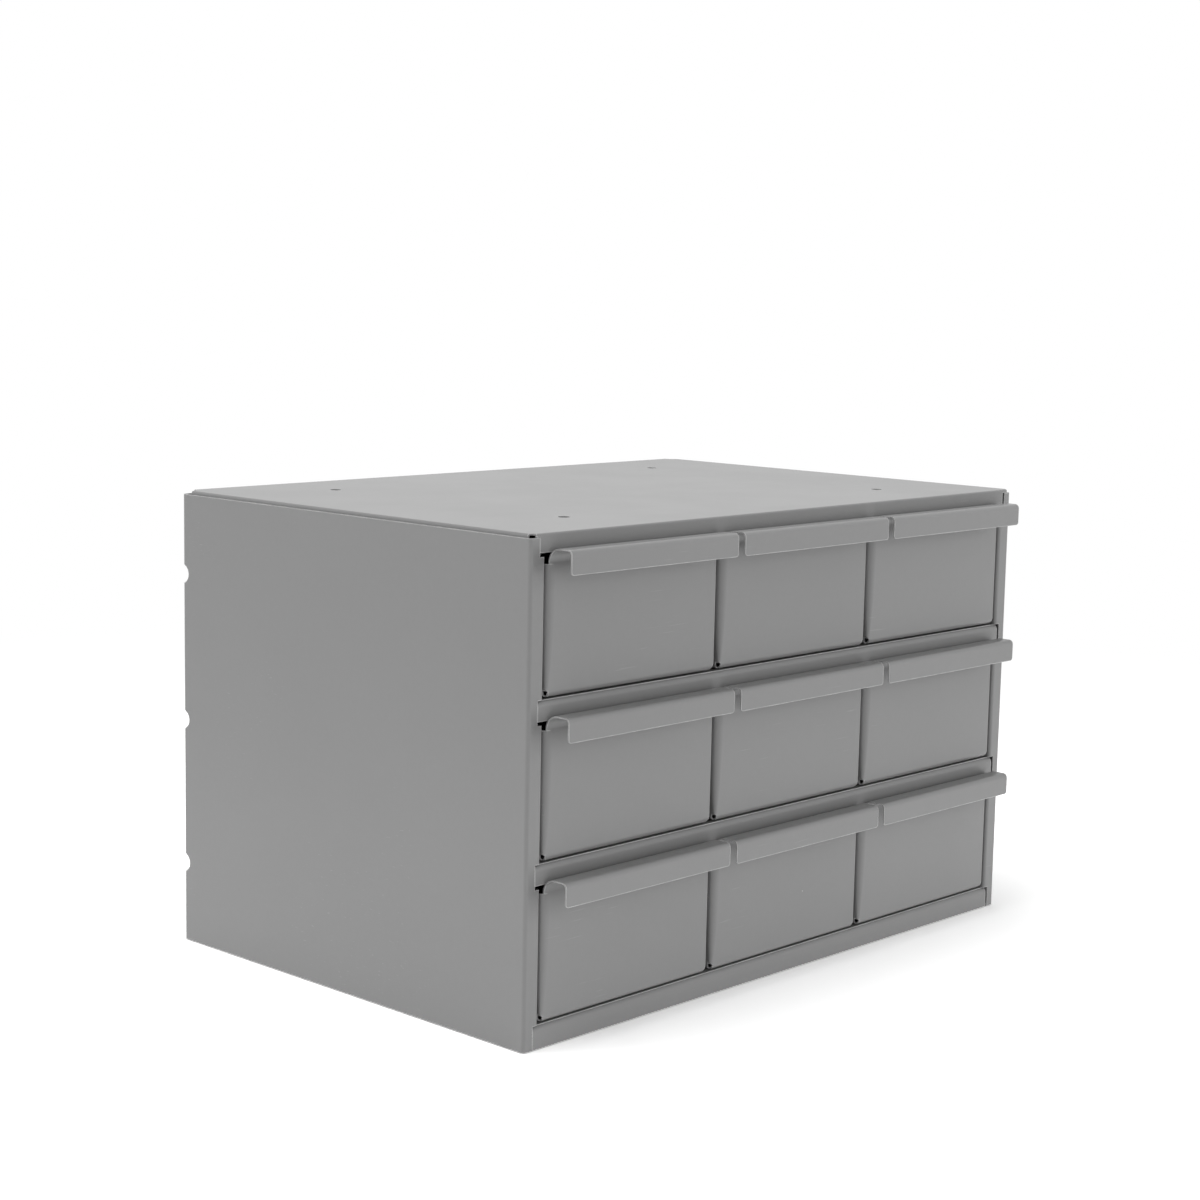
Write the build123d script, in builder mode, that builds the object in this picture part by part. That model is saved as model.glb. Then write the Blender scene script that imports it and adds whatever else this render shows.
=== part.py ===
"""Small sheet-steel cabinet with nine drawers in three rows of three.

Millimetres. +X is the right-hand side seen from the front, -Y the front, +Z up.
The origin lies on the ground under the middle of the cabinet, pulls included.
"""

import os

from build123d import *

# ---- cabinet: outer sizes ----
case_width = 438.15
case_depth = 295.3  # stile face to back face, without the pulls
case_height = 276.2
case_sheet = 0.9
case_bend = 2.0  # outer radius of the folds in the case
column_count = 3
row_count = 3

# ---- wrap ----
stile_width = 11.0
stile_return = 9.0  # the inner edge of a stile is folded back this far
top_rise = 2.2  # the top stands this far above the upper edge of the wrap
notch_depth = 4.2  # notches in the stiles, where the lips pass through
notch_below = 2.2
notch_above = 0.3
edge_hole_diameter = 11.0  # hanging holes on the two back folds
edge_hole_pitch = 88.9
edge_hole_count = 3

# ---- top ----
rail_height = 10.2
top_flange = 12.0
top_bend = 1.1  # outer radius of the folds round the top
rise_gap = 0.2  # upper edge of the stiles to the top's fold above them
front_relief_radius = 3.2
back_relief_radius = 7.0
fixing_hole_diameter = 7.0
fixing_side_inset = 76.2  # hole centre to the side face
fixing_end_inset = 50.8  # hole centre to the stile face or the back face

# ---- shelves and bottom ----
shelf_lip_height = 11.1
bottom_lip_height = 12.7
lip_bend = 3.5  # outer radius of the rolled front edge
lip_end_gap = 2.0  # right end of a lip to the side of its notch; the left end is welded
lip_corner_radius = 1.5
stile_gap = 0.3  # between the stiles and what lies behind them

# ---- partitions and side guides ----
partition_setback = 14.0
partition_back_gap = 4.0
partition_flange = 10.0
strip_bend = 1.5
tab_length = 15.0
tab_inset = 40.0
tab_gap = 0.2
guide_height = 12.0

# ---- drawers ----
drawer_sheet = 0.8
drawer_gap = 4.0  # between neighbouring fronts
face_setback = 0.2  # front behind the stile face
slide_gap = 0.9  # underside above its plate
back_gap = 3.0  # back of the drawer to the back of the cabinet
drawer_travel = 248.0
front_bend = 3.5  # outer radius of the fold under the front
side_bend = 2.0  # outer radius of the folds under the sides
back_bend = 2.0
flap_length = 12.0
flap_bend = 1.5  # outer radius of the folds between front and flaps at their lower ends
left_bend_middle = 4.5  # the left one opens out towards the top
left_bend_top = 4.8
relief_height = 5.0  # slanted reliefs at the lower corners of the front
flap_gap = 0.8  # upper end of a flap to the start of the root fold
side_height = 66.0
ear_length = 16.0
ear_radius = 3.0
ear_gap = 3.0  # top of a stop ear to the plate above
stop_gap = 0.3  # stop ear to the back of the lip when the drawer is out

# ---- pulls ----
pull_reach = 16.3  # front of the pull to the drawer front
pull_drop = 13.2
pull_gap = 5.8  # between neighbouring pulls
pull_below = 7.8  # top of a pull below the plate above, in front of its lip
pull_root_bend = 8.0
pull_edge_bend = 2.8
pull_corner_radius = 2.0

# ---- places worked out from the sizes above ----
half_width = case_width / 2
inner_half = half_width - case_sheet
overhang = pull_reach - face_setback
back_y = (case_depth + overhang) / 2
front_y = back_y - case_depth
inner_back_y = back_y - case_sheet
behind_fold_y = front_y + case_bend  # side flanges start clear of the front folds of the wrap
wrap_height = case_height - top_rise

row_pitch = (case_height - bottom_lip_height) / row_count
plate_levels = [bottom_lip_height + row * row_pitch for row in range(row_count)]
opening_half = half_width - stile_width
column_pitch = 2 * opening_half / column_count
column_centres = [(column - (column_count - 1) / 2) * column_pitch for column in range(column_count)]
partition_centres = [x + column_pitch / 2 for x in column_centres[:-1]]

notch_side = opening_half + notch_depth
lip_left = -notch_side
lip_right = notch_side - lip_end_gap

strip_front_y = front_y + partition_setback
strip_back_y = inner_back_y - partition_back_gap
strip_length = strip_back_y - strip_front_y
tab_centres = [strip_front_y + tab_inset, strip_back_y - tab_inset]

face_y = front_y + face_setback
drawer_back_y = inner_back_y - back_gap
front_width = column_pitch - drawer_gap
body_width = front_width - 2 * drawer_sheet
floor_width = body_width - 2 * side_bend
side_start_y = face_y + front_bend
pull_width = column_pitch - pull_gap
front_flat = front_width - 2 * flap_bend
pull_top = row_pitch - pull_below  # above the drawer's plate, like all heights below
pull_front_y = face_y - pull_reach
root_start = pull_top - pull_root_bend
flap_top = root_start - flap_gap
fold_top = slide_gap + front_bend
flap_middle = (fold_top + flap_top) / 2
side_top = slide_gap + side_height
ear_top = row_pitch - case_sheet - ear_gap
ear_front_y = front_y + case_sheet + stop_gap + drawer_travel


def bent_sheet(plane, points, bends, thickness, side):
    """Section of a folded sheet.

    One face of the sheet runs through the points, with one bend radius for each corner,
    and the sheet lies on the given side of that line.
    """
    with BuildSketch(plane) as section:
        with BuildLine():
            FilletPolyline(*points, radius=bends)
            offset(amount=thickness, side=side)
        make_face()
    return section.sketch


def write(piece, name):
    """Label a finished piece and write its file."""
    piece.label = name
    export_step(piece, f"parts/{name}.step")


def make_wrap():
    """Left side, back, right side and both front stiles in one sheet."""
    with BuildPart() as case_wrap:
        section = bent_sheet(
            Plane.XY,
            [
                (-opening_half, front_y + stile_return),
                (-opening_half, front_y),
                (-half_width, front_y),
                (-half_width, back_y),
                (half_width, back_y),
                (half_width, front_y),
                (opening_half, front_y),
                (opening_half, front_y + stile_return),
            ],
            case_bend,
            case_sheet,
            Side.RIGHT,
        )
        extrude(section, amount=wrap_height)

        # notches in the inner edges of the stiles, one at each lip and one at the rail
        notch_spans = [(case_height - rail_height - notch_below, wrap_height)]
        for level in plate_levels:
            lip = bottom_lip_height if level == plate_levels[0] else shelf_lip_height
            notch_spans.append((max(level - lip - notch_below, 0), level + notch_above))
        with BuildSketch(Plane.XZ.offset(-front_y)):
            for low, high in notch_spans:
                with Locations((0, (low + high) / 2)):
                    Rectangle(2 * notch_side, high - low)
        extrude(amount=-stile_return, mode=Mode.SUBTRACT)

        # hanging holes, punched on the back folds of the flat sheet
        with BuildSketch(Plane.XZ.offset(-back_y)):
            with Locations((0, wrap_height / 2)):
                with GridLocations(case_width, edge_hole_pitch, 2, edge_hole_count):
                    Circle(edge_hole_diameter / 2)
        extrude(amount=case_bend, mode=Mode.SUBTRACT)
        for side_x, into in ((-half_width, 1), (half_width, -1)):
            with BuildSketch(Plane.YZ.offset(side_x)):
                with Locations((back_y, wrap_height / 2)):
                    with GridLocations(0, edge_hole_pitch, 1, edge_hole_count):
                        Circle(edge_hole_diameter / 2)
            extrude(amount=into * case_bend, mode=Mode.SUBTRACT)
    return case_wrap.part


def make_top():
    """Lid nested in the wrap, folded down all round, with the front rail."""
    with BuildPart() as top_panel:
        # front rail, top and back flange
        section = bent_sheet(
            Plane.YZ.offset(-inner_half + top_bend),
            [
                (front_y, case_height - rail_height),
                (front_y, case_height),
                (inner_back_y, case_height),
                (inner_back_y, case_height - top_flange),
            ],
            top_bend,
            case_sheet,
            Side.RIGHT,
        )
        extrude(section, amount=2 * (inner_half - top_bend))

        # side flanges
        section = bent_sheet(
            Plane.XZ.offset(-behind_fold_y),
            [
                (-inner_half, case_height - top_flange),
                (-inner_half, case_height),
                (inner_half, case_height),
                (inner_half, case_height - top_flange),
            ],
            top_bend,
            case_sheet,
            Side.RIGHT,
        )
        extrude(section, amount=-(inner_back_y - case_bend - behind_fold_y))

        # below its fold the rail fits between the notches of the stiles
        rail_zone = inner_half - top_bend
        for end_x, outer_x in ((lip_left, -rail_zone), (lip_right, rail_zone)):
            with BuildSketch(Plane.XY.offset(case_height - rail_height)):
                with Locations(((end_x + outer_x) / 2, front_y)):
                    Rectangle(abs(outer_x - end_x), 2 * (case_sheet + stile_gap))
            extrude(amount=rail_height - top_rise + rise_gap, mode=Mode.SUBTRACT)

        # reliefs where the folds meet
        with BuildSketch(Plane.XY.offset(case_height)):
            with GridLocations(2 * inner_half, 0, 2, 1):
                with Locations((0, front_y)):
                    Circle(front_relief_radius)
                with Locations((0, inner_back_y)):
                    Circle(back_relief_radius)
        extrude(amount=-top_flange, mode=Mode.SUBTRACT)

        # fixing holes
        hole_span_x = case_width - 2 * fixing_side_inset
        hole_span_y = case_depth - 2 * fixing_end_inset
        with Locations((0, (front_y + back_y) / 2, case_height)):
            with GridLocations(hole_span_x, hole_span_y, 2, 2):
                Hole(fixing_hole_diameter / 2, depth=top_flange)
    return top_panel.part


def make_plate(level, lip_height):
    """Shelf or bottom: a plate with a rolled front lip and three welding flanges."""
    with BuildPart() as plate:
        # rolled lip, plate and back flange
        section = bent_sheet(
            Plane.YZ.offset(lip_left),
            [
                (front_y, level - lip_height),
                (front_y, level),
                (inner_back_y, level),
                (inner_back_y, level - lip_height),
            ],
            [lip_bend, case_bend],
            case_sheet,
            Side.RIGHT,
        )
        extrude(section, amount=lip_right - lip_left)

        # rounded upper corners of the lip
        with BuildSketch(Plane.XZ.offset(-front_y)):
            for corner_x, inward in ((lip_left, 1), (lip_right, -1)):
                with Locations((corner_x + inward * lip_corner_radius / 2, level - lip_corner_radius / 2)):
                    Rectangle(lip_corner_radius, lip_corner_radius)
                with Locations((corner_x + inward * lip_corner_radius, level - lip_corner_radius)):
                    Circle(lip_corner_radius, mode=Mode.SUBTRACT)
        extrude(amount=-(case_sheet + stile_gap), mode=Mode.SUBTRACT)

        # side flanges
        section = bent_sheet(
            Plane.XZ.offset(-behind_fold_y),
            [
                (-inner_half, level - lip_height),
                (-inner_half, level),
                (inner_half, level),
                (inner_half, level - lip_height),
            ],
            case_bend,
            case_sheet,
            Side.RIGHT,
        )
        extrude(section, amount=-(inner_back_y - case_bend - behind_fold_y))

        # slots for the tabs of the partitions
        with BuildSketch(Plane.XY.offset(level)):
            for x in partition_centres:
                for y in tab_centres:
                    with Locations((x, y)):
                        Rectangle(case_sheet + 2 * tab_gap, tab_length + 2 * tab_gap)
        extrude(amount=-case_sheet, mode=Mode.SUBTRACT)
    return plate.part


def make_partition(x, level):
    """Upright sheet between two drawers, folded over under the plate above."""
    top = level + row_pitch - case_sheet
    left_face = x - case_sheet / 2
    with BuildPart() as partition:
        section = bent_sheet(
            Plane.XZ.offset(-strip_front_y),
            [(left_face, level), (left_face, top), (left_face + partition_flange, top)],
            strip_bend,
            case_sheet,
            Side.RIGHT,
        )
        extrude(section, amount=-strip_length)

        # tabs through the slots of the plate below
        with BuildSketch(Plane.XY.offset(level)):
            for y in tab_centres:
                with Locations((x, y)):
                    Rectangle(case_sheet, tab_length)
        extrude(amount=-case_sheet)
    return partition.part


def make_side_guide(outward, level):
    """Angle strip beside an outer drawer; outward is -1 on the left and 1 on the right."""
    inner_face = outward * opening_half
    with BuildPart() as side_guide:
        section = bent_sheet(
            Plane.XZ.offset(-strip_front_y),
            [(inner_face, level + guide_height), (inner_face, level), (outward * inner_half, level)],
            strip_bend,
            case_sheet,
            Side.LEFT if outward > 0 else Side.RIGHT,
        )
        extrude(section, amount=-strip_length)
    return side_guide.part


def flap_outline(height, left_bend, inset):
    """Plan of the front and its two flaps, drawn in by the inset, for a loft."""
    with BuildSketch(Plane.XY.offset(height)) as outline:
        with Locations((0, face_y + inset)):
            Rectangle(front_width - 2 * inset, flap_length, align=(Align.CENTER, Align.MIN))
        fillet(outline.vertices().group_by(Axis.Y)[0].sort_by(Axis.X)[-1], flap_bend - inset)
        fillet(outline.vertices().group_by(Axis.Y)[0].sort_by(Axis.X)[0], left_bend - inset)
    return outline.sketch


def make_drawer():
    """Folded steel tub with its hooded pull, standing over a plate at height zero."""
    with BuildPart() as drawer:
        # neck, root fold and hood of the pull
        section = bent_sheet(
            Plane.YZ.offset(-pull_width / 2),
            [
                (pull_front_y, pull_top - pull_drop),
                (pull_front_y, pull_top),
                (face_y + drawer_sheet, pull_top),
                (face_y + drawer_sheet, flap_top),
            ],
            [pull_edge_bend, pull_root_bend],
            drawer_sheet,
            Side.RIGHT,
        )
        extrude(section, amount=pull_width)
        pull_corners = drawer.edges().filter_by(Axis.Y).group_by(Axis.Y)[0].group_by(Axis.Z)[0]
        fillet(pull_corners, pull_corner_radius)

        # front with its flaps
        bends = {fold_top: flap_bend, flap_middle: left_bend_middle, flap_top: left_bend_top}
        loft([flap_outline(height, bend, 0) for height, bend in bends.items()])
        loft(
            [flap_outline(height, bend, drawer_sheet) for height, bend in bends.items()],
            mode=Mode.SUBTRACT,
        )

        # fold under the front, a quarter ring
        with BuildSketch(Plane.YZ.offset(-front_flat / 2)):
            with Locations((face_y + front_bend, fold_top)):
                Circle(front_bend)
                Circle(front_bend - drawer_sheet, mode=Mode.SUBTRACT)
                Rectangle(front_bend, front_bend, align=(Align.MAX, Align.MAX), mode=Mode.INTERSECT)
        extrude(amount=front_flat)

        # slanted reliefs at the lower corners
        with BuildSketch(Plane.XZ.offset(-face_y)):
            for side in (-1, 1):
                with BuildLine():
                    Polyline(
                        (side * floor_width / 2, slide_gap),
                        (side * front_width / 2, slide_gap),
                        (side * front_width / 2, slide_gap + relief_height),
                        close=True,
                    )
                make_face()
        extrude(amount=-flap_length, mode=Mode.SUBTRACT)

        # floor and back
        section = bent_sheet(
            Plane.YZ.offset(-floor_width / 2),
            [
                (face_y + front_bend, slide_gap),
                (drawer_back_y, slide_gap),
                (drawer_back_y, side_top),
            ],
            back_bend,
            drawer_sheet,
            Side.LEFT,
        )
        extrude(section, amount=floor_width)

        # sides, folded up from the floor
        section = bent_sheet(
            Plane.XZ.offset(-side_start_y),
            [
                (-body_width / 2, side_top),
                (-body_width / 2, slide_gap),
                (body_width / 2, slide_gap),
                (body_width / 2, side_top),
            ],
            side_bend,
            drawer_sheet,
            Side.LEFT,
        )
        extrude(section, amount=-(drawer_back_y - back_bend - side_start_y))

        # back, from side to side
        with BuildSketch(Plane.XZ.offset(-drawer_back_y)):
            with Locations((0, slide_gap + back_bend)):
                Rectangle(body_width, side_height - back_bend, align=(Align.CENTER, Align.MIN))
        extrude(amount=drawer_sheet)
        for side_x, into in ((-body_width / 2, 1), (body_width / 2, -1)):
            with BuildSketch(Plane.YZ.offset(side_x)):
                with Locations((drawer_back_y, slide_gap + side_bend)):
                    Rectangle(back_bend, side_height - side_bend, align=(Align.MAX, Align.MIN))
            extrude(amount=into * drawer_sheet)

        # stop ears that catch behind the lip when the drawer is out
        for side_x, into in ((-body_width / 2, 1), (body_width / 2, -1)):
            with BuildSketch(Plane.YZ.offset(side_x)) as ear:
                with Locations((ear_front_y, side_top)):
                    Rectangle(ear_length, ear_top - side_top, align=(Align.MIN, Align.MIN))
                fillet(ear.vertices().group_by(Axis.Z)[-1], ear_radius)
            extrude(amount=into * drawer_sheet)
    return drawer.part


os.makedirs("parts", exist_ok=True)

write(make_wrap(), "case_wrap")
write(make_top(), "top_panel")
write(make_plate(plate_levels[0], bottom_lip_height), "bottom_panel")
for row in range(1, row_count):
    shelf_name = "shelf_lower" if row == 1 else "shelf_upper"
    write(make_plate(plate_levels[row], shelf_lip_height), shelf_name)

drawer_shape = make_drawer()
for row, level in enumerate(plate_levels):
    row_name = row_count - row  # rows are counted from the top
    for column, x in enumerate(partition_centres):
        write(make_partition(x, level), f"partition_{row_name}{column + 1}")
    write(make_side_guide(-1, level), f"side_guide_{row_name}_left")
    write(make_side_guide(1, level), f"side_guide_{row_name}_right")
    for column, x in enumerate(column_centres):
        write(Pos(x, 0, level) * drawer_shape, f"drawer_{row_name}{column + 1}")
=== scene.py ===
import math
from collections import namedtuple

import bpy
from bpy.props import FloatProperty, FloatVectorProperty, PointerProperty
from bpy.types import Operator, Panel, PropertyGroup
from mathutils import Matrix, Vector

bl_info = {
    "name": "Nine-drawer steel cabinet",
    "version": (1, 0, 0),
    "blender": (4, 5, 0),
    "location": "View3D > Sidebar > Cabinet",
    "description": "Enamel, floor, light and camera for a small steel cabinet with nine drawers",
    "category": "Object",
}

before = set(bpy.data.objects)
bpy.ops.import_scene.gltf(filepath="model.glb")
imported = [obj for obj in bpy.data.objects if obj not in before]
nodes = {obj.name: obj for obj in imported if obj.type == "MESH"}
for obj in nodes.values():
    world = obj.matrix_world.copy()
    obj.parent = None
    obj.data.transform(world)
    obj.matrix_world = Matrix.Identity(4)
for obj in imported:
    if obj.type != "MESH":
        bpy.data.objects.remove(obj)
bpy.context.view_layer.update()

MM = 0.001
DRAWERS = sorted(n for n in nodes if n.startswith("drawer_"))
INNER_SHEETS = sorted(n for n in nodes if n.startswith(("partition_", "side_guide_")))
SHELVES = ["bottom_panel", "shelf_lower", "shelf_upper"]

# noise in the enamel: waves to the metre, octaves and their weight, and the values where it begins and is full
Pattern = namedtuple("Pattern", "scale detail roughness low high", defaults=(0.0, 1.0))
CLOUDING = Pattern(7.0, 3.0, 0.5, 0.3, 0.7)
MOTTLE = Pattern(260.0, 2.0, 0.6, 0.25, 0.75)
# patches along the paler edges, which are a painted highlight with some wear
EDGE_HIGHLIGHT_AND_WEAR_PATCHES = Pattern(120.0, 3.0, 0.65, 0.35, 0.65)
SCUFFS = Pattern(1.0, 1.0, 0.4, 0.70, 0.78)         # on coordinates stretched by SCUFF_WAVES
SCUFFED_AREAS = Pattern(11.0, 1.0, 0.5, 0.52, 0.62)
SMUDGES = Pattern(16.0, 4.0, 0.6, 0.3, 0.7)
ORANGE_PEEL = Pattern(620.0, 2.0, 0.5)
SHEET_WAVES = Pattern(26.0, 1.0, 0.4)

# strengths of the enamel's clouding and mottle
CLOUD_SHARE = 0.5
MOTTLE_SHARE = 0.35

# paler edges: a painted highlight along sheet edges, with some wear
ROUNDING_SAMPLES = 6
EDGE_FINDER_SAMPLES = 8
EDGE_TURN = (0.985, 0.88)           # cosine of the normal's turn where the paler edge (painted highlight and wear) begins, and where it is full
EDGE_HIGHLIGHT_AND_WEAR_GAIN = 2.6                     # how many times paler an edge is painted, as highlight and wear
EDGE_HIGHLIGHT_AND_WEAR_LEAST = 0.55                   # share of the paler edge, painted highlight and wear, left between the patches

# dust specks and scuffs
DUST_CELLS = 34.0                   # to the metre
SPECK_RADIUS = (0.016, 0.010)       # outer and full radius of a speck, as a share of its cell
SPECKED_CELLS = (0.55, 0.60)        # cells whose random value lies above this hold a speck
SPECK_TONE = 0.75
SCUFF_WAVES = (40.0, 260.0, 900.0)  # to the metre, along the scuffs and across them
SCUFF_TURN = (0.0, 0.9, 0.5)        # slant of the scuffs, in radians
SCUFF_TONE = 0.62
SCUFF_STRENGTH = 0.10

# gloss
SMUDGE_DEPTH = 0.04                 # change of roughness by smudges, either way
MARK_DULLNESS = 0.06                # roughness added by specks and scuffs
ENAMEL_IOR = 1.5

# each drawer's pattern is taken from its own place, this far from its neighbour's
DRAWER_STEP = (0.17, 0.29, 0.07)

# the stage, in metres
FLOOR_DROP = 0.0005
FLOOR_SIDES = 96
FADE_START = 0.45                   # from the middle, where the floor begins to turn white
FADE_END = 1.3
SEEN_PAPER_TONE = 1.7               # so bright that the lit floor shows as white away from the shadow
AIM = (0.0, 0.0, 0.14)
KEY_PLACE = (-0.45, 0.10, 1.85)
KEY_SIZE = 1.2
LEFT_PLACE = (-2.3, 1.9, 0.7)
RIGHT_PLACE = (1.9, -2.3, 0.7)
SIDE_LAMP_SIZE = 1.6
SENSOR_WIDTH = 36.0                 # in millimetres
CLIP_START = 0.05
CLIP_END = 50.0


# ---------------------------------------------------------------- node helpers


class Graph:
    """A node tree that starts empty, with its nodes added and wired by name."""

    def __init__(self, tree):
        self.tree = tree
        self.tree.nodes.clear()

    def put(self, node, key, value):
        """Sets the input at a name or number, or wires a socket to it."""
        if isinstance(value, bpy.types.NodeSocket):
            self.tree.links.new(value, node.inputs[key])
        else:
            node.inputs[key].default_value = value

    def add(self, kind, label="", **sockets):
        """A node of that kind; each keyword names an input and gives its value or the socket wired to it."""
        node = self.tree.nodes.new("ShaderNode" + kind)
        node.label = label
        for key, value in sockets.items():
            name = key.replace("_", " ")
            match = [s.name for s in node.inputs if s.name.lower() == name and s.enabled]
            if not match:
                raise RuntimeError(f"{node.bl_idname} has no input {name!r}")
            self.put(node, match[0], value)
        return node

    def math(self, operation, *values):
        """A Math node over up to three numbers or sockets."""
        node = self.tree.nodes.new("ShaderNodeMath")
        node.operation = operation
        for index, value in enumerate(values):
            self.put(node, index, value)
        return node.outputs[0]

    def vector_math(self, operation, label, *values):
        """A Vector Math node over vectors or sockets."""
        node = self.tree.nodes.new("ShaderNodeVectorMath")
        node.operation = operation
        node.label = label
        for index, value in enumerate(values):
            self.put(node, index, value)
        return node

    def span(self, value, low, high, to_low, to_high):
        """A Map Range node that runs smoothly from to_low to to_high as value goes from low to high."""
        node = self.tree.nodes.new("ShaderNodeMapRange")
        node.interpolation_type = "SMOOTHSTEP"
        self.put(node, "Value", value)
        for key, number in (("From Min", low), ("From Max", high), ("To Min", to_low), ("To Max", to_high)):
            self.put(node, key, number)
        return node.outputs["Result"]

    def mix(self, factor, a, b):
        """A colour mix; factor, a and b are values or sockets."""
        node = self.tree.nodes.new("ShaderNodeMix")
        node.data_type = "RGBA"
        for index, value in ((0, factor), (6, a), (7, b)):
            self.put(node, index, value)
        return node.outputs[2]

    def mix_shader(self, label, factor, first, second):
        """A shader mix that goes from first to second as factor goes from 0 to 1."""
        node = self.add("MixShader", label)
        for index, value in enumerate((factor, first, second)):
            self.put(node, index, value)
        return node.outputs[0]

    def coords(self, shift=(0, 0, 0), turn=(0, 0, 0), stretch=(1, 1, 1)):
        """Object coordinates through a Mapping node."""
        source = self.tree.nodes.new("ShaderNodeTexCoord")
        mapping = self.add("Mapping", location=shift, rotation=turn, scale=stretch)
        self.put(mapping, "Vector", source.outputs["Object"])
        return mapping.outputs["Vector"]

    def noise(self, label, place, pattern):
        """The value of a noise pattern at a place."""
        node = self.add("TexNoise", label, vector=place, scale=pattern.scale, detail=pattern.detail,
                        roughness=pattern.roughness)
        return node.outputs["Fac"]

    def marks(self, label, place, pattern, to_low, to_high):
        """A noise pattern that runs smoothly from to_low, where it begins, to to_high, where it is full."""
        return self.span(self.noise(label, place, pattern), pattern.low, pattern.high, to_low, to_high)

    def seen(self):
        """One for rays that show a surface, nought for those that only carry its light."""
        rays = self.add("LightPath", "kind of ray")
        mirrored = self.math("MAXIMUM", rays.outputs["Is Glossy Ray"], rays.outputs["Is Transmission Ray"])
        return self.math("MAXIMUM", rays.outputs["Is Camera Ray"], mirrored)

    def finish(self, kind, shader):
        """Wires the shader to an output node of that kind."""
        self.put(self.add(kind), "Surface", shader)


def new_material(name):
    """A material with nodes, and the graph of its emptied node tree."""
    material = bpy.data.materials.get(name) or bpy.data.materials.new(name)
    material.use_nodes = True
    return material, Graph(material.node_tree)


def grey(value):
    """A neutral colour."""
    return (value, value, value, 1.0)


# ---------------------------------------------------------------- enamel


def enamel(name, settings, tone=1.0, shift=(0, 0, 0), dull=0.0, dust=1.0, smudged=1.0):
    """Baked semi-gloss enamel on sheet steel: clouding, orange peel, dust specks, scuffs, and edges painted paler as
    a painted highlight with some wear of thin paint.
    """
    material, g = new_material(name)
    place = g.coords(shift)
    base = tuple(c * tone for c in settings.enamel_colour)

    # slow clouding of the sprayed coat, and a finer mottle in it
    shade = g.math("ADD", g.marks("clouding", place, CLOUDING, -CLOUD_SHARE, CLOUD_SHARE),
                   g.marks("mottle", place, MOTTLE, -MOTTLE_SHARE, MOTTLE_SHARE))
    shade = g.math("MULTIPLY_ADD", shade, settings.mottle, 1.0)
    coat = g.vector_math("SCALE", "shaded coat", base)
    g.put(coat, "Scale", shade)
    colour = coat.outputs["Vector"]

    # edges: paler colour is painted where a sheet is cut or folded sharply, a painted highlight and partly wear
    # where the coat pulls thin; the rounded normal softens the edge's shading
    rounded = g.add("Bevel", "rounded edge", radius=settings.edge_round)
    rounded.samples = ROUNDING_SAMPLES
    near_edge = g.add("Bevel", "near an edge", radius=settings.edge_width)
    near_edge.samples = EDGE_FINDER_SAMPLES
    surface = g.add("NewGeometry", "surface")
    turn = g.vector_math("DOT_PRODUCT", "edge turn", near_edge.outputs["Normal"], surface.outputs["Normal"])
    edge = g.span(turn.outputs["Value"], *EDGE_TURN, 0.0, 1.0)
    edge = g.math("MULTIPLY", edge, g.marks("patchy edge", place, EDGE_HIGHLIGHT_AND_WEAR_PATCHES, EDGE_HIGHLIGHT_AND_WEAR_LEAST, 1.0))
    # edges painted paler than the coat: a painted highlight, partly edge wear
    highlit_and_worn = tuple(c * EDGE_HIGHLIGHT_AND_WEAR_GAIN for c in base) + (1.0,)
    colour = g.mix(g.math("MULTIPLY", edge, settings.edge_highlight_and_wear), colour, highlit_and_worn)

    # pale dust specks and lint, far apart
    cells = g.add("TexVoronoi", "dust", vector=place, scale=DUST_CELLS, randomness=1.0)
    speck = g.span(cells.outputs["Distance"], *SPECK_RADIUS, 0.0, 1.0)
    chosen = g.add("SeparateColor", "which cells", color=cells.outputs["Color"])
    keep = g.span(chosen.outputs[0], *SPECKED_CELLS, 0.0, 1.0)
    speck = g.math("MULTIPLY", g.math("MULTIPLY", speck, keep), dust * settings.dust)
    colour = g.mix(speck, colour, grey(SPECK_TONE))

    # short fine scuffs, at a slant
    scuff_place = g.coords(shift, SCUFF_TURN, SCUFF_WAVES)
    scuff = g.math("MULTIPLY", g.marks("scuffs", scuff_place, SCUFFS, 0.0, 1.0),
                   g.marks("where scuffed", place, SCUFFED_AREAS, 0.0, 1.0))
    colour = g.mix(g.math("MULTIPLY", scuff, SCUFF_STRENGTH), colour, grey(SCUFF_TONE))

    # gloss: smudges change it a little, specks and scuffs dull it
    rough = settings.roughness + dull
    change = SMUDGE_DEPTH * smudged
    rough = g.marks("smudges", place, SMUDGES, rough - change, rough + change)
    rough = g.math("ADD", rough, g.math("MULTIPLY", g.math("MAXIMUM", speck, scuff), MARK_DULLNESS))

    # orange peel of the baked coat, and slow waves in the sheet
    peel = g.math("MULTIPLY", g.noise("orange peel", place, ORANGE_PEEL), settings.peel)
    waves = g.math("MULTIPLY", g.noise("sheet waviness", place, SHEET_WAVES), settings.waviness)
    height = g.math("ADD", peel, waves)
    bump = g.add("Bump", "coat surface", height=height, normal=rounded.outputs["Normal"], strength=1.0, distance=1.0)

    shader = g.add("BsdfPrincipled", "enamel", base_color=colour, roughness=rough, normal=bump.outputs["Normal"],
                   ior=ENAMEL_IOR)
    g.finish("OutputMaterial", shader.outputs["BSDF"])
    return material


def dress(names, material):
    """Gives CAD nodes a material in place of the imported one."""
    for name in names:
        data = nodes[name].data
        data.materials.clear()
        data.materials.append(material)


# ---------------------------------------------------------------- sizes and colours a user would change


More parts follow.
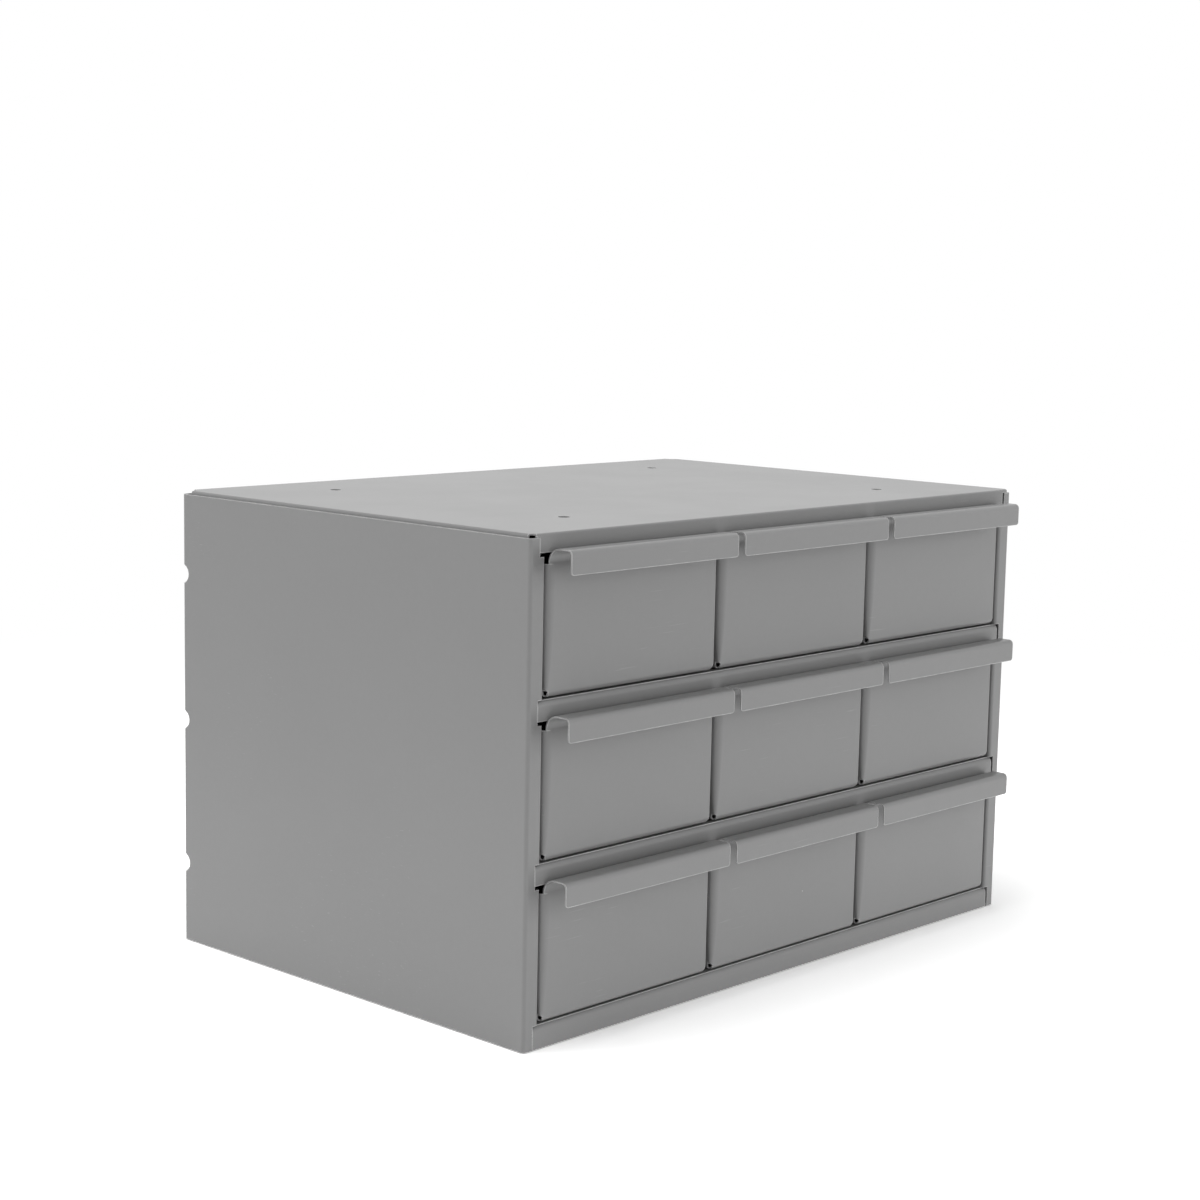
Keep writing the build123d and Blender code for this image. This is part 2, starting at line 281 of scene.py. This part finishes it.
class CabinetFinish(PropertyGroup):
    """Colour and surface of the enamel."""

    enamel_colour: FloatVectorProperty(
        name="Enamel", description="Colour of the enamel", subtype="COLOR", size=3, min=0, max=1,
        default=(0.245, 0.245, 0.245))
    roughness: FloatProperty(
        name="Roughness", description="How dull the enamel is", subtype="FACTOR", min=0, max=1, default=0.32)
    mottle: FloatProperty(
        name="Mottle", description="How much the coat clouds", subtype="FACTOR", min=0, max=1, default=0.022)
    # how far edges are painted paler: a painted highlight with some wear
    edge_highlight_and_wear: FloatProperty(
        name="Edge wear", description="How far the coat lightens on edges", subtype="FACTOR", min=0, max=1,
        default=0.85)
    edge_round: FloatProperty(
        name="Edge rounding", description="Radius of the coat on cut edges", subtype="DISTANCE", unit="LENGTH",
        min=0, default=0.35 * MM)
    # width of the paler edge band, a painted highlight with some wear
    edge_width: FloatProperty(
        name="Edge width", description="How far from an edge the coat is thin", subtype="DISTANCE", unit="LENGTH",
        min=0, default=1.1 * MM)
    dust: FloatProperty(
        name="Dust", description="How plainly dust specks show", subtype="FACTOR", min=0, max=1, default=0.5)
    peel: FloatProperty(
        name="Orange peel", description="Height of the coat's fine ripple", subtype="DISTANCE", unit="LENGTH",
        min=0, default=0.010 * MM)
    waviness: FloatProperty(
        name="Waviness", description="Height of the slow waves in the sheet", subtype="DISTANCE", unit="LENGTH",
        min=0, default=0.03 * MM)


class CabinetStage(PropertyGroup):
    """Floor, light and camera."""

    camera_place: FloatVectorProperty(
        name="Camera", description="Where the camera stands", subtype="TRANSLATION", unit="LENGTH", size=3,
        default=(-1.06103, -0.98171, 0.40929))
    camera_yaw: FloatProperty(
        name="Yaw", description="Camera's turn from straight on towards the right", subtype="ANGLE", unit="ROTATION",
        default=math.radians(46.725))
    camera_pitch: FloatProperty(
        name="Pitch", description="How far the camera looks down", subtype="ANGLE", unit="ROTATION",
        default=math.radians(7.954))
    camera_roll: FloatProperty(
        name="Roll", description="Camera's turn about its own line of sight", subtype="ANGLE", unit="ROTATION",
        default=math.radians(1.123))
    camera_lens: FloatProperty(
        name="Lens", description="Focal length in millimetres on a 36 mm frame", min=1, default=70.1)
    sky: FloatProperty(
        name="Sky", description="Strength of the even light all round", min=0, default=0.45)
    key_power: FloatProperty(
        name="Key light", description="Power of the large lamp overhead", unit="POWER", min=0, default=15.0)
    left_power: FloatProperty(
        name="Left light", description="Power of the soft lamp on the left", unit="POWER", min=0, default=18.0)
    right_power: FloatProperty(
        name="Right light", description="Power of the soft lamp on the right", unit="POWER", min=0, default=28.0)
    floor_size: FloatProperty(
        name="Floor", description="Width of the floor", subtype="DISTANCE", unit="LENGTH", min=0, default=12.0)
    floor_colour: FloatVectorProperty(
        name="Floor colour", description="Colour of the floor", subtype="COLOR", size=3, min=0, max=1,
        default=(0.88, 0.88, 0.88))
    floor_glow: FloatProperty(
        name="Floor glow", description="Light that comes through the floor from below", min=0, default=0.28)


# ---------------------------------------------------------------- operators


class CABINET_OT_finish_case(Operator):
    """Enamel on the wrap, the top, the shelves and the bottom; the top and its front rail are painted a little
    darker than the wrap, as painted shade
    """

    bl_idname = "cabinet.finish_case"
    bl_label = "Finish the case"

    def execute(self, context):
        settings = context.scene.cabinet_finish
        dress(["case_wrap"], enamel("enamel_wrap", settings))
        # the top panel and its front rail are painted darker than the wrap: painted shade, standing in for the
        # rail's shade above the pulls
        dress(["top_panel"], enamel("enamel_top", settings, tone=0.94, shift=(0.37, 0.11, 0.0), dust=0.5,
                                    smudged=0.3))
        dress(SHELVES, enamel("enamel_shelves", settings, shift=(0.05, 0.41, 0.23)))
        return {"FINISHED"}


class CABINET_OT_finish_inner_sheets(Operator):
    """Enamel on the partitions and side guides, a little duller"""

    bl_idname = "cabinet.finish_inner_sheets"
    bl_label = "Finish the inner sheets"

    def execute(self, context):
        settings = context.scene.cabinet_finish
        dress(INNER_SHEETS, enamel("enamel_inner", settings, tone=0.96, shift=(0.71, 0.13, 0.31), dull=0.06,
                                   dust=0.5))
        return {"FINISHED"}


class CABINET_OT_finish_drawers(Operator):
    """Enamel on the nine drawers, each with its own pattern"""

    bl_idname = "cabinet.finish_drawers"
    bl_label = "Finish the drawers"

    def execute(self, context):
        settings = context.scene.cabinet_finish
        for number, name in enumerate(DRAWERS):
            shift = tuple(step * number for step in DRAWER_STEP)
            dress([name], enamel(f"enamel_{name}", settings, shift=shift))
        return {"FINISHED"}


class CABINET_OT_stage(Operator):
    """Pale floor, soft light and the camera"""

    bl_idname = "cabinet.stage"
    bl_label = "Set the stage"

    def execute(self, context):
        stage = context.scene.cabinet_stage
        self.make_floor(stage)
        self.make_sky(context, stage)
        self.make_lamps(stage)
        self.make_camera(context, stage)
        context.scene.view_settings.view_transform = "Standard"
        return {"FINISHED"}

    def make_floor(self, stage):
        """A wide floor that keeps the object's shadow and fades to white in the distance."""
        bpy.ops.object.select_all(action="DESELECT")
        bpy.ops.mesh.primitive_circle_add(vertices=FLOOR_SIDES, radius=stage.floor_size / 2, fill_type="NGON",
                                          location=(0, 0, -FLOOR_DROP))
        floor = bpy.context.object
        floor.name = "floor"
        bpy.ops.object.transform_apply(location=True, rotation=True, scale=True)

        material, g = new_material("floor_paper")
        distance = g.vector_math("LENGTH", "distance from the middle", g.coords())
        fade = g.span(distance.outputs["Value"], FADE_START, FADE_END, 0.0, 1.0)

        # the floor that is seen: paper with the shadow on it, which turns white further out
        seen_paper = g.add("BsdfDiffuse", "paper as seen", color=grey(SEEN_PAPER_TONE))
        white = g.add("Emission", "white", color=grey(1.0), strength=1.0)
        seen_floor = g.mix_shader("near or far", fade, seen_paper.outputs[0], white.outputs[0])

        # the floor that lights the object from below
        lit = g.add("BsdfDiffuse", "lit paper", color=tuple(stage.floor_colour) + (1.0,))
        glow = g.add("Emission", "light through the paper", color=grey(1.0), strength=stage.floor_glow)
        paper = g.add("AddShader", "paper")
        g.put(paper, 0, lit.outputs[0])
        g.put(paper, 1, glow.outputs[0])

        g.finish("OutputMaterial", g.mix_shader("seen or lighting", g.seen(), paper.outputs[0], seen_floor))
        floor.data.materials.append(material)

    def make_sky(self, context, stage):
        """Even light from all round, which shows as plain white."""
        world = context.scene.world or bpy.data.worlds.new("sky")
        context.scene.world = world
        world.use_nodes = True
        g = Graph(world.node_tree)
        light = g.add("Background", "light", color=grey(1.0), strength=stage.sky)
        white = g.add("Background", "white", color=grey(1.0), strength=1.0)
        g.finish("OutputWorld", g.mix_shader("seen or lighting", g.seen(), light.outputs[0], white.outputs[0]))

    def lamp(self, name, power, size, place):
        """A square soft lamp that looks at the cabinet."""
        bpy.ops.object.select_all(action="DESELECT")
        bpy.ops.object.light_add(type="AREA", location=place)
        lamp = bpy.context.object
        lamp.name = name
        lamp.data.name = name
        lamp.data.shape = "SQUARE"
        lamp.data.size = size
        lamp.data.energy = power
        lamp.rotation_mode = "QUATERNION"
        lamp.rotation_quaternion = (Vector(AIM) - Vector(place)).to_track_quat("-Z", "Y")
        return lamp

    def make_lamps(self, stage):
        """A large lamp overhead, and two soft ones that throw no reflections: back left and front right."""
        self.lamp("key_lamp", stage.key_power, KEY_SIZE, KEY_PLACE)
        for name, power, place in (
            ("left_lamp", stage.left_power, LEFT_PLACE),
            ("right_lamp", stage.right_power, RIGHT_PLACE),
        ):
            side_lamp = self.lamp(name, power, SIDE_LAMP_SIZE, place)
            side_lamp.visible_glossy = False

    def make_camera(self, context, stage):
        """The camera where the photograph was taken from."""
        data = bpy.data.cameras.new("camera")
        camera = bpy.data.objects.new("camera", data)
        context.scene.collection.objects.link(camera)
        data.lens = stage.camera_lens
        data.sensor_width = SENSOR_WIDTH
        data.sensor_fit = "HORIZONTAL"
        data.clip_start = CLIP_START
        data.clip_end = CLIP_END
        ahead = Vector((
            math.sin(stage.camera_yaw) * math.cos(stage.camera_pitch),
            math.cos(stage.camera_yaw) * math.cos(stage.camera_pitch),
            -math.sin(stage.camera_pitch),
        ))
        right = ahead.cross(Vector((0, 0, 1))).normalized()
        up = right.cross(ahead)
        c, s = math.cos(stage.camera_roll), math.sin(stage.camera_roll)
        right, up = c * right + s * up, -s * right + c * up
        turn = Matrix((right, up, -ahead)).transposed().to_4x4()
        camera.matrix_world = Matrix.Translation(stage.camera_place) @ turn
        context.scene.camera = camera


# ---------------------------------------------------------------- sidebar panel


class VIEW3D_PT_cabinet(Panel):
    """Sizes and colours of the cabinet, and a button for each group of pieces"""

    bl_label = "Cabinet"
    bl_space_type = "VIEW_3D"
    bl_region_type = "UI"
    bl_category = "Cabinet"

    def draw(self, context):
        layout = self.layout
        layout.use_property_split = True
        for title, group in (("Finish", context.scene.cabinet_finish), ("Stage", context.scene.cabinet_stage)):
            box = layout.box()
            box.label(text=title)
            for key in group.__annotations__:
                box.prop(group, key)
        for operator in OPERATORS:
            layout.operator(operator.bl_idname)


OPERATORS = (
    CABINET_OT_finish_case,
    CABINET_OT_finish_inner_sheets,
    CABINET_OT_finish_drawers,
    CABINET_OT_stage,
)
CLASSES = (CabinetFinish, CabinetStage) + OPERATORS + (VIEW3D_PT_cabinet,)


def register():
    for cls in CLASSES:
        bpy.utils.register_class(cls)
    bpy.types.Scene.cabinet_finish = PointerProperty(type=CabinetFinish)
    bpy.types.Scene.cabinet_stage = PointerProperty(type=CabinetStage)


def unregister():
    del bpy.types.Scene.cabinet_stage
    del bpy.types.Scene.cabinet_finish
    for cls in reversed(CLASSES):
        bpy.utils.unregister_class(cls)


def main():
    """Makes the whole scene, one group of pieces after another."""
    register()
    bpy.ops.cabinet.finish_case()
    bpy.ops.cabinet.finish_inner_sheets()
    bpy.ops.cabinet.finish_drawers()
    bpy.ops.cabinet.stage()


if __name__ == "__main__":
    main()
